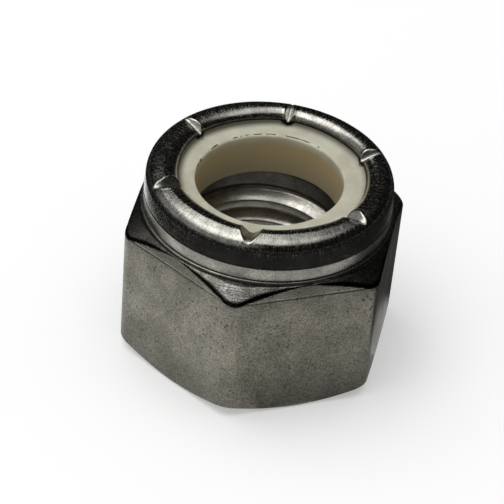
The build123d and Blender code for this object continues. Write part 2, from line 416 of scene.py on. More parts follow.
@dataclass
class RolledCollar:
    """Collar rolled over the insert: foot step, straight band, crimp line, bead and lip."""

    flat_radius: float
    foot_radius: float
    base: float
    crown: float
    insert_top: float
    setback: float = 0.30
    foot_height: float = 0.14
    foot_rounding: float = 0.05
    foot_fillet: float = 0.10
    # painted shade in the step where the collar's foot meets the hexagon's cone
    cone_painted_shade: float = 0.3
    collar_foot_painted_shade: float = 0.5
    band_flare: float = 0.028  # the band's foot is this much smaller than its top
    crimp_drop: float = 2.19
    crimp_step: float = 0.03
    crimp_rounding: float = 0.03
    crimp_below: float = 0.02  # crimp line to where its step starts, and to where it ends
    crimp_above: float = 0.05
    bead_start: float = 0.20  # crimp line to the bead's first row
    wall_lean: float = 4.0  # lean of the bead's wall towards the axis, in degrees
    shoulder_radius: float = 0.95
    shoulder_sweep: float = 75.0
    bend_radius: float = 1.50
    wall_thickness: float = 0.975
    lip_overhang: float = 1.25
    lip_drop: float = 0.68
    waver: float = 0.008
    waves: tuple[tuple[float, int, float, float], ...] = (  # strength, order, phase and twist
        (1.0, 7, 0.0, 5.0), (1.0, 11, 1.3, -8.0), (0.6, 23, 2.1, 11.0))
    full_side: float = 226.0  # direction where the roll is fullest, in degrees
    full_from: float = -0.25  # cosine of the direction from there where the roll starts to fill
    full_run: float = 0.9
    fullness: float = 0.14
    ridge_drop: float = 0.075  # how far the shoulder sinks there, which leaves a ridge at the crown
    lip_side: float = 12.0  # direction that the lip's opening lies off centre
    lip_offset: float = 0.14
    lip_ripple: float = 0.05
    stake_angle: float = 2.0
    teeth: tuple[float, ...] = (0.10, 0.12, 0.12, 0.10, -0.06, 0.05)  # of each stake, over the ring
    tooth_width: float = 0.20
    corner_gap: float = 0.02  # crown line to the nearest place for the corner of its parabola
    tuck: tuple[float, float] = (0.03, 0.02)  # bead's last row: out from the lip, up from the insert
    wall_parts: int = 5
    shoulder_parts: int = 22
    crown_parts: int = 8
    lip_parts: int = 19
    tuck_parts: int = 3

    @property
    def radius(self) -> float:
        """Outer radius of the straight band."""
        return self.flat_radius - self.setback

    @property
    def bead_radius(self) -> float:
        """Outer radius above the crimp line."""
        return self.radius - self.crimp_step

    @property
    def seat_radius(self) -> float:
        """Radius of the counterbore."""
        return self.radius - self.wall_thickness

    def fuller(self, angles: np.ndarray) -> np.ndarray:
        """How far each column lies on the full side, a smooth step of its direction's cosine.

        Args:
            angles: angle of each column, in radians.

        Returns:
            A share from 0 to 1 for each angle.
        """
        cosine = np.cos(angles - math.radians(self.full_side))
        share = np.clip((cosine - self.full_from) / self.full_run, 0.0, 1.0)
        return share * share * (3.0 - 2.0 * share)

    def lip_line(self, angles: np.ndarray) -> np.ndarray:
        """Radius of the lip's edge: off centre, with a bell-shaped tooth inward at each stake.

        Args:
            angles: angle of each column, in radians.

        Returns:
            Radius for each angle.
        """
        offset = self.lip_offset * np.cos(angles - math.radians(self.lip_side))
        ripple = self.lip_ripple * np.cos(6 * (angles - math.radians(self.stake_angle)))
        plain = self.seat_radius - self.lip_overhang
        step = 2 * math.pi / len(self.teeth)
        places = math.radians(self.stake_angle) + step * np.arange(len(self.teeth))
        turned = np.mod(angles[:, None] - places + math.pi, 2 * math.pi) - math.pi
        tooth = np.array(self.teeth) * np.exp(-((turned * plain / self.tooth_width) ** 2))
        return plain + offset + ripple - 0.5 * self.fullness * self.fuller(angles) - tooth.sum(axis=1)

    def band(self, angles: np.ndarray) -> list[Strip]:
        """Foot, straight band and crimp line, from the end of the hexagon's cone.

        Args:
            angles: angle of each column, in radians.

        Returns:
            The strips from the cone to the bead's first row.
        """
        count = len(angles)
        foot_top = self.base + self.foot_height
        crimp = self.crown - self.crimp_drop
        start = crimp + self.bead_start
        return trace(profile(
            count,
            (self.foot_radius, self.base, 0.0, Finish.TURNED, 1, self.cone_painted_shade),
            (self.foot_radius, foot_top, self.foot_rounding, Finish.TURNED, 1, self.collar_foot_painted_shade),
            (self.radius - self.band_flare, foot_top, self.foot_fillet, Finish.DRAWN, 4),
            (self.radius, crimp - self.crimp_below, self.crimp_rounding, Finish.BURNISHED, 1),
            (self.bead_radius, crimp + self.crimp_above, self.crimp_rounding, Finish.BURNISHED, 1),
            (self.wall_at(start), start, 0.0, Finish.BURNISHED, 1),
        ), angles)

    def wall_at(self, height: float) -> float:
        """Radius of the bead's leaning wall at a height."""
        rise = height - (self.crown - self.crimp_drop + self.crimp_above)
        return self.bead_radius - rise * math.tan(math.radians(self.wall_lean))

    def bead(self, angles: np.ndarray) -> np.ndarray:
        """Rows over the bead: up the wall, round the shoulder, over the crown and to the lip.

        The shoulder is an arc. A parabola that leaves it along its tangent comes level at the
        crown, or meets it at a ridge on the full side, and a quarter ellipse falls from there to
        stand upright at the lip. The waves are sines of a few whole orders round the axis, which
        make the surface waver by hundredths of a millimetre.

        Args:
            angles: angle of each column, in radians.

        Returns:
            Rows of (radius, height), shape (rows, columns, 2).
        """
        count = len(angles)
        full = self.fuller(angles)
        lean, sweep = math.radians(self.wall_lean), math.radians(self.shoulder_sweep)
        shift = self.bend_radius - self.shoulder_radius
        height = self.crown - self.bend_radius + shift * math.sin(sweep)
        joint = height + self.shoulder_radius * math.sin(lean)
        centre = self.wall_at(joint) - self.shoulder_radius * math.cos(lean)
        sunk = self.ridge_drop * full
        low = self.crown - self.crimp_drop + self.bead_start
        wall_top = ring(self.wall_at(joint), joint - sunk, count)
        wall = run(ring(self.wall_at(low), low, count), wall_top, self.wall_parts)
        turn = np.linspace(lean, sweep, self.shoulder_parts + 1)[1:, None] + 0.0 * angles
        shoulder = np.stack([
            centre + self.shoulder_radius * np.cos(turn),
            height - sunk + self.shoulder_radius * np.sin(turn)], axis=-1)
        crown_line = centre - shift * math.cos(sweep) - self.fullness * full
        top = ring(crown_line, self.crown, count)
        rise = self.crown - shoulder[-1, :, 1]
        level = np.maximum(shoulder[-1, :, 0] - rise * math.tan(sweep), crown_line + self.corner_gap)
        over = bend(shoulder[-1], ring(level, self.crown, count), top, self.crown_parts)[1:]
        fall = np.linspace(0.0, math.pi / 2, self.lip_parts + 1)[1:, None]
        lip = self.lip_line(angles)
        inner = np.stack([
            crown_line - (crown_line - lip) * np.sin(fall),
            self.crown - self.lip_drop * (1.0 - np.cos(fall)) + 0.0 * lip], axis=-1)
        last = ring(lip + self.tuck[0], self.insert_top + self.tuck[1], count)
        foot = run(inner[-1], last, self.tuck_parts)[1:]
        rows = np.concatenate([wall, shoulder, over, inner, foot])
        share = np.linspace(0.0, 1.0, len(rows))[:, None]
        sway = sum(
            strength * np.sin(order * angles + phase + twist * share)
            for strength, order, phase, twist in self.waves)
        most = sum(wave[0] for wave in self.waves)
        swell = np.sin(math.pi * share)
        rows[..., 0] += self.waver * sway * swell
        rows[..., 1] -= 0.5 * self.waver * (most + sway) * swell
        return rows


@dataclass(frozen=True)
class Stake:
    """Shape of one stake: how soft its rims are, how shallow, how steep and how blunt it is."""

    softness: float
    lift: float
    side_slope: float  # rise of the groove's sides over their run
    nose: float  # length over which its bottom stays blunt


@dataclass
class StakeRing:
    """Six blunt V-shaped grooves pressed across the bead, with the metal raised along their rims."""

    centre_radius: float
    centre_height: float
    ceiling: float
    bed: float
    start_angle: float = 2.0
    bend_radius: float = 0.98
    swing: float = 110.0  # the groove's bottom is straight past this angle, in degrees
    hold: float = 0.40  # height over which the press comes in above the bead's first row
    rim_height: float = 0.035
    rim_offset: float = 0.05
    rim_width: float = 0.09
    rim_depth: float = 0.15  # depth of groove at which its rims are whole
    blend_from: float = 0.80  # how far outside the groove the smooth minimum starts to count
    blend_run: float = 0.50
    half_reach: float = 1.8  # nothing moves further than this to a stake's side
    mark_depth: float = 0.08  # depth at which a point counts as inside
    stakes: tuple[Stake, ...] = (
        Stake(0.025, 0.07, 1.85, 0.25),
        Stake(0.020, 0.09, 2.20, 0.20),
        Stake(0.025, 0.16, 2.00, 0.22),
        Stake(0.030, -0.03, 1.45, 0.34),
        Stake(0.018, 0.03, 4.40, 2.20),
        Stake(0.035, 0.02, 1.70, 0.40),
    )

    def places(self) -> np.ndarray:
        """Direction of each stake, in radians."""
        count = len(self.stakes)
        return np.radians(self.start_angle + 360.0 / count * np.arange(count))

    def cover(self, angles: np.ndarray, radius: float, half_width: float) -> np.ndarray:
        """How far each column lies in a stake, a flat-topped bell of its distance to one side."""
        turned = np.mod(angles[:, None] - self.places() + math.pi, 2 * math.pi) - math.pi
        return np.exp(-((turned * radius / half_width) ** 4)).sum(axis=1)

    def press(self, points: np.ndarray) -> tuple[np.ndarray, np.ndarray]:
        """Presses the grooves into points of the bead.

        In the plane of a stake, m is the distance from the groove's centre, or past the swing the
        distance along the swing's last direction, and t is the distance from that plane. The
        groove is the hyperbola m = bend + slope (sqrt(t^2 + nose^2) - nose). A smooth minimum of
        it and the bead gives the pressed surface, and a bell just outside the place where they
        meet lifts the rims. The first row, where the bead meets the band, stays where it is.

        Args:
            points: shape (rows, columns, 3), in millimetres.

        Returns:
            The pressed points, in the same shape, and how far each lies inside a groove.
        """
        pressed, inside = points, np.zeros(points.shape[:2])
        free = np.clip((points[..., 2] - points[0, :, 2]) / self.hold, 0.0, 1.0)
        last = math.radians(self.swing)
        for turn, stake in zip(self.places(), self.stakes):
            base = self.bend_radius + stake.lift
            slope, nose = stake.side_slope, stake.nose
            cos, sin = math.cos(turn), math.sin(turn)
            along = pressed[..., 0] * cos + pressed[..., 1] * sin
            side = pressed[..., 1] * cos - pressed[..., 0] * sin
            out, up = along - self.centre_radius, pressed[..., 2] - self.centre_height
            heading = np.clip(np.arctan2(up, out), 0.0, last)
            heading = np.where((up < 0.0) & (out < 0.0), last, heading)
            way_out, way_up = np.cos(heading), np.sin(heading)
            distance = out * way_out + up * way_up
            groove = base + slope * (np.hypot(side, nose) - nose)
            depth = np.maximum(distance - base, 0.0)
            reach = np.sqrt((depth / slope + nose) ** 2 - nose**2)
            bell = np.exp(-(((np.abs(side) - reach - self.rim_offset) / self.rim_width) ** 2))
            raised = distance + self.rim_height * bell * np.clip(depth / self.rim_depth, 0.0, 1.0)
            gap = raised - groove
            settled = 0.5 * (raised + groove - np.sqrt(gap**2 + 4.0 * stake.softness**2))
            fade = np.clip((gap + self.blend_from) / self.blend_run, 0.0, 1.0)
            shift = raised + fade * (settled - raised) - distance
            shift = free * np.where((along > 0.0) & (np.abs(side) < self.half_reach), shift, 0.0)
            height = self.centre_height + up + shift * way_up
            height = np.minimum(height, self.ceiling)
            height = np.maximum(height, np.minimum(pressed[..., 2], self.bed))
            radial = self.centre_radius + out + shift * way_out
            east, north = radial * cos - side * sin, radial * sin + side * cos
            pressed = np.stack([east, north, height], axis=-1)
            covered = np.clip(gap / self.mark_depth, 0.0, 1.0)
            inside = np.maximum(inside, np.where(along > 0.0, covered, 0.0))
        return pressed, inside


@dataclass
class ThreadedBore:
    """Right-handed internal thread between two countersinks."""

    minor_radius: float
    top: float
    countersink: float = 1.10
    mouth_rounding: float = 0.05
    seat_countersink: float = 0.40
    pitch: float = 25.4 / 13
    major_radius: float = 6.35
    flank_angle: float = 30.0  # of each flank from the plane across the axis, in degrees
    crest_share: float = 0.28
    softness: float = 0.035
    start_phase: float = 1.41
    cover: float = 0.02  # how far the countersink's cone reaches past the thread's root
    top_rows: tuple[float, ...] = (0.0, 0.75)  # shares of the crest's half width
    edge_rows: tuple[float, ...] = (-0.04, 0.0, 0.04, 0.10)  # from the crest's edge
    root_rows: tuple[float, ...] = (-0.07, 0.0, 0.05)  # from the foot of the flank
    relief_from: float = 8.45  # height where the crests start to run out under the seat
    relief_run: float = 0.30
    relief_depth: float = 0.80
    # painted shade: the relief under the seat and the crests are painted darker, standing in for the
    # nylon's shadow and the dark bore that the crests reflect
    relief_painted_shade: float = 0.70
    crest_painted_shade: float = 0.45
    crest_depth: float = 0.12  # depth at which the painted shade on the crests has gone

    def radius(self, height: np.ndarray, angles: np.ndarray) -> np.ndarray:
        """Radius of the bore: the deepest of the thread, its relief and the two 90 degree cones.

        The thread's depth rises along the flank from the crest's edge, as (|u| - crest/2) over
        the flank angle's tangent, and a smooth clamp holds it between 0 and the full depth. u is
        the distance along the axis from the crest, after the helix is taken off.

        Args:
            height: heights of the points, shape (rows, columns).
            angles: angle of each column, in radians.

        Returns:
            Radius of each point.
        """
        phase = height - self.pitch * angles / (2 * math.pi) - self.start_phase
        off_crest = np.abs(np.mod(phase + self.pitch / 2, self.pitch) - self.pitch / 2)
        lean = math.tan(math.radians(self.flank_angle))
        slope = (off_crest - self.crest_share * self.pitch / 2) / lean
        full = self.major_radius - self.minor_radius
        lower = self.softness * np.logaddexp(0.0, slope / self.softness)
        depth = full - self.softness * np.logaddexp(0.0, (full - lower) / self.softness)
        depth = np.clip(depth, 0.0, full)
        cone = np.maximum(self.countersink - height, self.seat_countersink - (self.top - height))
        relief = self.relief_depth * self.in_relief(height)
        return self.minor_radius + np.maximum(np.maximum(depth, relief), cone)

    def in_relief(self, height: np.ndarray) -> np.ndarray:
        """How far each height lies in the relief under the seat, from 0 to 1."""
        return np.clip((height - self.relief_from) / self.relief_run, 0.0, 1.0)

    def strips(self, angles: np.ndarray, bearing_inner: float, floor_outer: float) -> list[Strip]:
        """Skin from the seat's floor, down the thread and out to the middle of the bearing face.

        Rows follow the helix, so the crests stay sharp: row i starts at a fixed step below the
        top and climbs one pitch in a turn, held between the two ends of the thread. The thread
        runs out through the seat's floor, and ends in the countersink of the bearing face.

        Args:
            angles: angle of each column, in radians.
            bearing_inner: radius on the bearing face where the skin ends.
            floor_outer: radius on the seat's floor where the skin starts.

        Returns:
            The strips from the seat's floor to the bearing face.
        """
        count = len(angles)
        edge = self.minor_radius + self.countersink
        low = edge - self.major_radius - self.cover
        high = self.top
        crest = self.crest_share * self.pitch / 2
        flank = (self.major_radius - self.minor_radius) * math.tan(math.radians(self.flank_angle))
        root = self.pitch / 2 - crest - flank
        half = np.concatenate([
            np.array(self.top_rows) * crest,
            crest + np.array(self.edge_rows),
            [crest + flank * 0.5],
            crest + flank + np.array(self.root_rows),
        ])
        offsets = np.concatenate([half, [crest + flank + root], self.pitch - half[:0:-1]])
        per_turn = len(offsets)
        turns = math.ceil((high - low) / self.pitch) + 1
        drop = (offsets[None, :] + self.pitch * np.arange(turns + 1)[:, None]).ravel()
        lead = (high - self.start_phase) % self.pitch
        climb = self.pitch * angles / (2 * math.pi)
        height = np.clip(high - lead + self.pitch - drop[:, None] + climb, low, high)
        reach = self.radius(height, angles)
        thread = spin(np.stack([reach, height], axis=-1), angles)
        # painted shade on the relief and on the crests
        on_crest = np.clip(1.0 - (reach - self.minor_radius) / self.crest_depth, 0.0, 1.0)
        grime = np.maximum(self.relief_painted_shade * self.in_relief(height), self.crest_painted_shade * on_crest)
        mouth = self.radius(np.full((1, count), high), angles)[0]
        entry = profile(
            count,
            (floor_outer, high, 0.0, Finish.TURNED, 2),
            (mouth, high, 0.0, Finish.THREADED, 1),
        )
        way_out = profile(
            count,
            (edge - low, low, 0.0, Finish.THREADED, 2),
            (edge, 0.0, self.mouth_rounding, Finish.TURNED, 3),
            (bearing_inner, 0.0, 0.0, Finish.TURNED, 1),
        )
        helix = Strip(thread, Finish.THREADED, {"grime": grime}, turn_shift=per_turn)
        return trace(entry, angles, 3) + [helix] + trace(way_out, angles, 3)


@dataclass
class SteelBody:
    """The whole steel piece: hexagon, rolled collar, stakes, seat and threaded bore."""

    flat_radius: float
    crown: float
    minor_radius: float
    insert_top: float
    seat_floor: float
    collar_height: float = 3.49
    seat_corner: float = 0.60
    floor_rounding: float = 0.05
    floor_width: float = 0.9  # counterbore's wall to the middle of the seat's floor
    floor_gap: float = 0.005  # the floor lies this far under the insert
    roof_gap: float = 0.01  # and the lip's underside this far over it
    under_lip: float = 0.08  # lip's edge to where its underside starts
    under_bead: float = 0.05  # and the bead's last row to there, at least
    lip_clearance: float = 0.02
    stake_inset: float = 0.70  # bead's wall to the centre of the stakes' curve
    stake_drop: float = 1.33  # crown to that centre
    bearing_split: float = 7.9
    # painted shade down the lip's inner side to the nylon, over the bead's last rows
    lip_painted_shade: tuple[float, ...] = (0.10, 0.25, 0.50, 0.75, 0.90, 1.0, 1.0, 1.0, 1.0)
    stake_shade_cut: float = 0.85  # share of that painted shade that a stake takes away
    columns: Columns = Columns()

    def hexagon(self) -> Hexagon:
        """The hexagon below the collar."""
        return Hexagon(self.flat_radius, self.crown - self.collar_height)

    def collar(self) -> RolledCollar:
        """The collar on the hexagon."""
        hexagon = self.hexagon()
        return RolledCollar(
            self.flat_radius, hexagon.foot_radius, hexagon.top, self.crown, self.insert_top)

    @property
    def floor(self) -> float:
        """Height of the seat's floor."""
        return self.seat_floor - self.floor_gap

    def stakes(self) -> StakeRing:
        """The stakes across the collar's bead, round a curve that lies inside it.

        Returns:
            The ring of stakes.
        """
        centre = self.collar().bead_radius - self.stake_inset
        bed = self.insert_top + self.lip_clearance
        return StakeRing(centre, self.crown - self.stake_drop, self.crown, bed)

    def strips(self) -> list[Strip]:
        """Whole skin, from the bearing face round the section and back to it.

        Returns:
            The strips in order.
        """
        angles = self.columns.angles()
        hexagon, collar = self.hexagon(), self.collar()
        bead, inside = self.stakes().press(spin(collar.bead(angles), angles))
        # Painted shade on the lip, less where a stake has pressed it
        grime = np.zeros(len(bead))
        grime[-len(self.lip_painted_shade):] = self.lip_painted_shade
        marks = {"stake": inside, "grime": grime[:, None] * (1.0 - self.stake_shade_cut * inside)}
        bore = ThreadedBore(self.minor_radius, self.floor)
        return (
            hexagon.strips(angles, self.bearing_split)
            + collar.band(angles)
            + [Strip(bead, Finish.BURNISHED, marks)]
            + self.seat(bead[-1], collar, angles)
            + bore.strips(angles, self.bearing_split, collar.seat_radius - self.floor_width)
        )

    def seat(self, lip: np.ndarray, collar: RolledCollar, angles: np.ndarray) -> list[Strip]:
        """Hidden side of the lip and the counterbore that holds the insert.

        Args:
            lip: last row of the bead, at the lip's inner wall.
            collar: the collar whose wall is the counterbore's.
            angles: angle of each column, in radians.

        Returns:
            The strips from the lip to the floor of the counterbore.
        """
        count = len(angles)
        wall = collar.seat_radius
        under = self.insert_top + self.roof_gap
        lip_reach = np.hypot(lip[:, 0], lip[:, 1])
        start = np.maximum(collar.lip_line(angles) + self.under_lip, lip_reach + self.under_bead)
        hidden = trace(profile(
            count,
            (start, under, 0.0, Finish.TURNED, 2),
            (wall, under, self.seat_corner, Finish.TURNED, 2),
            (wall, self.floor, self.floor_rounding, Finish.TURNED, 1),
            (wall - self.floor_width, self.floor, 0.0, Finish.TURNED, 1),
        ), angles, 4)
        # The turn from the lip to its hidden underside is painted fully dark, as painted shade.
        turn_in = np.stack([lip, hidden[0].points[0]])
        return [Strip(turn_in, Finish.BURNISHED, {"grime": np.array(1.0)})] + hidden


# ---- Nylon ring --------------------------------------------------------------------------------


@dataclass
class NylonRing:
    """Moulded ring that the collar holds, squeezed up against the lip in a hollow-faced rim."""

    outer_radius: float
    bore_radius: float
    bottom: float
    top: float
    rim_rise: float
    rim_width: float = 0.62
    rim_land: float = 0.05
    rim_edge: float = 0.01
    rim_slope: float = 58.0  # steepest part of the rim's face, in degrees
    face_parts: int = 10
    lip_gap: float = 0.02
    outer_rounding: float = 0.58
    top_rounding: float = 0.22
    bottom_rounding: float = 0.10
    oval: float = 0.07
    oval_side: float = 30.0  # direction of the bore's wider diameter, in degrees
    offset: float = 0.05
    offset_side: float = 215.0
    stake_half_width: float = 0.42  # measured at rim_radius
    rim_radius: float = 7.0
    stake_flattens: float = 0.97  # share of the rim's rise that a stake presses down
    rim_shade_side: float = 100.0  # direction where the rim's painted shade is strongest, in degrees
    rim_shade_least: float = 0.25
    columns: int = 480

    def far_side(self, angles: np.ndarray) -> np.ndarray:
        """How far each column lies on the side where the rim's painted shade is strongest, from 0 to 1,
        by its direction's cosine.
        """
        return 0.5 + 0.5 * np.cos(angles - math.radians(self.rim_shade_side))

    def bore_line(self, angles: np.ndarray) -> np.ndarray:
        """Radius of the bore: slightly oval and off centre, as a pressed-in ring is."""
        oval = self.oval * np.cos(2 * (angles - math.radians(self.oval_side)))
        return self.bore_radius + oval + self.offset * np.cos(angles - math.radians(self.offset_side))

    def strips(self, collar: RolledCollar, stakes: StakeRing) -> list[Strip]:
        """Closed skin of the ring: underside, outer wall, rim, top and bore.

        The rim's face is a parabola, level at the flat top and steep at the rim's land. The rim
        follows the lip's edge and is pressed flat at each stake.

        Args:
            collar: the collar whose lip the rim follows.
            stakes: the stakes that press the rim flat.

        Returns:
            The strips of the ring's section, in order.
        """
        angles = np.linspace(0.0, 2 * math.pi, self.columns, endpoint=False)
        count = self.columns
        middle = (self.outer_radius + self.bore_radius) / 2
        bore = self.bore_line(angles)
        edge = collar.lip_line(angles) - self.lip_gap
        staked = stakes.cover(angles, self.rim_radius, self.stake_half_width)
        rise = self.rim_rise * (1.0 - self.stake_flattens * staked)
        peak = self.top + rise
        outside = profile(
            count,
            (middle, self.bottom, 0.0, Finish.SATIN, 2),
            (self.outer_radius, self.bottom, self.outer_rounding, Finish.SATIN, 2),
            (self.outer_radius, self.top, self.outer_rounding, Finish.SATIN, 4),
            (edge, self.top, 0.0, Finish.SATIN, 1),
        )
        land = ring(edge - self.rim_land, peak, count)
        steep = math.tan(math.radians(self.rim_slope))
        turn = ring(edge - self.rim_land - rise / steep, self.top, count)
        foot = ring(edge - self.rim_width, self.top, count)
        shoulder = ring(edge, peak - self.rim_edge, count)
        rim = np.concatenate([
            run(ring(edge, self.top, count), shoulder, 2),
            bend(shoulder, ring(edge, peak, count), land, 3)[1:],
            bend(land, turn, foot, self.face_parts)[1:],
        ])
        # Painted shade on the rim: whole on its land, fading down its face, strongest on one side
        side = self.rim_shade_least + (1.0 - self.rim_shade_least) * self.far_side(angles)
        face = np.linspace(1.0, 0.0, self.face_parts + 1)[1:, None] * side
        painted_rim_shade = np.concatenate([np.ones((len(rim) - self.face_parts, count)), face])
        inside = profile(
            count,
            (foot[:, 0], self.top, 0.0, Finish.SATIN, 5),
            (bore, self.top, self.top_rounding, Finish.SATIN, 10),
            (bore, self.bottom, self.bottom_rounding, Finish.SATIN, 2),
            (middle, self.bottom, 0.0, Finish.SATIN, 1),
        )
        rim_strip = Strip(spin(rim, angles), Finish.SATIN, {"grime": painted_rim_shade})
        return trace(outside, angles, 6) + [rim_strip] + trace(inside, angles, 6)


# ---- Shader nodes ------------------------------------------------------------------------------


class NodeSheet:
    """Adds nodes to one tree and wires them from left to right."""

    def __init__(self, tree: bpy.types.NodeTree) -> None:
        """Takes the tree that every node goes into."""
        self.tree = tree

    def node(self, kind: str, inputs: dict | None = None, **settings: object) -> bpy.types.Node:
        """Adds a node.

        Args:
            kind: Blender's type name of the node.
            inputs: value or source socket for each named or numbered input.
            settings: attributes of the node, such as its operation.

        Returns:
            The new node.
        """
        node = self.tree.nodes.new(kind)
        for name, value in settings.items():
            setattr(node, name, value)
        for key, value in (inputs or {}).items():
            self.feed(node.inputs[key], value)
        return node

    def feed(self, target: Socket, value: object) -> None:
        """Links a socket to the target, or writes a plain value on it."""
        if isinstance(value, bpy.types.NodeSocket):
            self.tree.links.new(value, target)
        elif isinstance(value, tuple) and len(value) == 3 and target.type == "RGBA":
            target.default_value = (*value, 1.0)
        else:
            target.default_value = value

    def maths(self, operation: str, first: object, second: object = 0.0, clamp: bool = False) -> Socket:
        """Result of a Math node with two inputs."""
        node = self.node("ShaderNodeMath", {0: first, 1: second}, operation=operation, use_clamp=clamp)
        return node.outputs[0]

    def vector(self, operation: str, first: object, second: object = (0.0, 0.0, 0.0)) -> Socket:
        """Vector result of a Vector Math node with two inputs."""
        node = self.node("ShaderNodeVectorMath", {0: first, 1: second}, operation=operation)
        return node.outputs[0]

    def measure(self, operation: str, first: object, second: object = (0.0, 0.0, 0.0)) -> Socket:
        """Number that a Vector Math node gives, such as a length."""
        node = self.node("ShaderNodeVectorMath", {0: first, 1: second}, operation=operation)
        return node.outputs["Value"]

    def scaled(self, first: object, factor: object) -> Socket:
        """Vector times a number."""
        node = self.node("ShaderNodeVectorMath", {0: first, "Scale": factor}, operation="SCALE")
        return node.outputs[0]

    def height(self, place: Socket) -> Socket:
        """Height of a position."""
        return self.node("ShaderNodeSeparateXYZ", {0: place}).outputs[2]

    def noise(self, place: Socket, scale: object, detail: object, roughness: float = 0.5) -> Socket:
        """Noise at a position."""
        node = self.node("ShaderNodeTexNoise", {
            "Vector": place, "Scale": scale, "Detail": detail, "Roughness": roughness,
        })
        return node.outputs["Fac"]

    def remap(
        self, value: object, low: float, high: float, to_low: float = 0.0, to_high: float = 1.0,
    ) -> Socket:
        """Value carried from one range to another along a smooth step, held at both ends."""
        node = self.node("ShaderNodeMapRange", {
            "Value": value, "From Min": low, "From Max": high, "To Min": to_low, "To Max": to_high,
        }, interpolation_type="SMOOTHSTEP")
        return node.outputs["Result"]

    def blend(self, factor: object, first: object, second: object, mode: str = "MIX") -> Socket:
        """Mixes two colours.

        Args:
            factor: share of the second colour.
            first: colour that is kept where the factor is zero.
            second: colour that is mixed in.
            mode: Blender's name of the blend.

        Returns:
            The Mix node's colour.
        """
        node = self.node("ShaderNodeMix", data_type="RGBA", blend_type=mode)
        self.feed(node.inputs[0], factor)
        self.feed(node.inputs[6], first)
        self.feed(node.inputs[7], second)
        return node.outputs[2]

    def mark(self, name: str) -> Socket:
        """Strength of a mark that the skin carries on its points."""
        return self.node("ShaderNodeAttribute", attribute_name=name).outputs["Fac"]

    def effect(self, group: bpy.types.NodeTree, place: Socket, **values: float) -> Socket:
        """Factor of one of the shared effects, at a position and with values of its own."""
        return self.node("ShaderNodeGroup", {"Position": place, **values}, node_tree=group).outputs[0]

    def bump(self, height: Socket) -> Socket:
        """Normal of a surface that a height in millimetres raises."""
        node = self.node("ShaderNodeBump", {"Strength": 1.0, "Distance": MM, "Height": height})
        return node.outputs[0]

    def seen(self) -> Socket:
        """Tells camera, glossy and transmission rays from the rest.

        Returns:
            A mask that is 1 for those three.
        """
        path = self.node("ShaderNodeLightPath").outputs
        either = self.maths("MAXIMUM", path["Is Camera Ray"], path["Is Glossy Ray"])
        return self.maths("MAXIMUM", either, path["Is Transmission Ray"])


def new_group(name: str, *values: str) -> tuple:
    """Starts a shader node group that takes a position and some values, and gives a factor.

    Args:
        name: name of the group.
        values: names of its value inputs.

    Returns:
        The group, its sheet, its input sockets and the socket that takes its factor.
    """
    group = bpy.data.node_groups.new(name, "ShaderNodeTree")
    group.interface.new_socket(name="Position", in_out="INPUT", socket_type="NodeSocketVector")
    for value in values:
        group.interface.new_socket(name=value, in_out="INPUT", socket_type="NodeSocketFloat")
    group.interface.new_socket(name="Factor", in_out="OUTPUT", socket_type="NodeSocketFloat")
    sheet = NodeSheet(group)
    given, result = sheet.node("NodeGroupInput"), sheet.node("NodeGroupOutput")
    return group, sheet, given.outputs, result.inputs["Factor"]


class Effects:
    """Node groups that more than one finish can use. All of them take positions in millimetres."""

    def __init__(self) -> None:
        """Builds each group once."""
        self.grain = self.build_grain()
        self.pits = self.build_pits()
        self.scores = self.build_scores()
        self.lathe = self.build_lathe()

    @staticmethod
    def build_grain() -> bpy.types.NodeTree:
        """Cloudy noise of a given size.

        Returns:
            The node group.
        """
        group, sheet, given, factor = new_group("cloudy_grain", "Size", "Detail")
        scale = sheet.maths("DIVIDE", 1.0, given["Size"])
        sheet.feed(factor, sheet.noise(given["Position"], scale, given["Detail"], 0.62))
        return group

    @staticmethod
    def build_pits() -> bpy.types.NodeTree:
        """Small separate pits: cells nearer to their centre than a width, thinned by clouds.

        Returns:
            The node group.
        """
        group, sheet, given, factor = new_group("small_pits", "Spacing", "Width", "Cover")
        cells = sheet.node("ShaderNodeTexVoronoi", {
            "Vector": given["Position"], "Scale": sheet.maths("DIVIDE", 1.0, given["Spacing"]),
        })
        share = sheet.maths("DIVIDE", given["Width"], given["Spacing"])
        off_centre = sheet.maths("DIVIDE", cells.outputs["Distance"], share)
        near = sheet.maths("SUBTRACT", 1.0, off_centre, True)
        clouds = sheet.noise(given["Position"], scale=0.55, detail=2.0)
        kept = sheet.maths("GREATER_THAN", given["Cover"], clouds)
        chance = sheet.maths("LESS_THAN", cells.outputs["Color"], PIT_CHANCE)
        mask = sheet.maths("MULTIPLY", sheet.maths("MULTIPLY", near, kept), chance, True)
        sheet.feed(factor, mask)
        return group

    @staticmethod
    def build_scores() -> bpy.types.NodeTree:
        """Fine scores that run across the bead: noise that changes mostly with direction.

        Returns:
            The node group.
        """
        group, sheet, given, factor = new_group("radial_scores", "Count", "Length")
        flat = sheet.vector("MULTIPLY", given["Position"], (1.0, 1.0, 0.0))
        spread = sheet.scaled(sheet.vector("NORMALIZE", flat), given["Count"])
        slow = sheet.scaled(given["Position"], sheet.maths("DIVIDE", 1.0, given["Length"]))
        sheet.feed(factor, sheet.noise(sheet.vector("ADD", spread, slow), 1.0, 3.0, 0.7))
        return group

    @staticmethod
    def build_lathe() -> bpy.types.NodeTree:
        """Turning marks: noise by distance from the axis and height, broken up by position.

        Returns:
            The node group.
        """
        group, sheet, given, factor = new_group("turning_marks", "Feed", "Breakup")
        flat = sheet.vector("MULTIPLY", given["Position"], (1.0, 1.0, 0.0))
        section = sheet.node("ShaderNodeCombineXYZ", {
            0: sheet.measure("LENGTH", flat), 1: sheet.height(given["Position"]),
        }).outputs[0]
        fine = sheet.scaled(section, sheet.maths("DIVIDE", 1.0, given["Feed"]))
        loose = sheet.scaled(given["Position"], given["Breakup"])
        sheet.feed(factor, sheet.noise(sheet.vector("ADD", fine, loose), 1.0, 2.0))
        return group


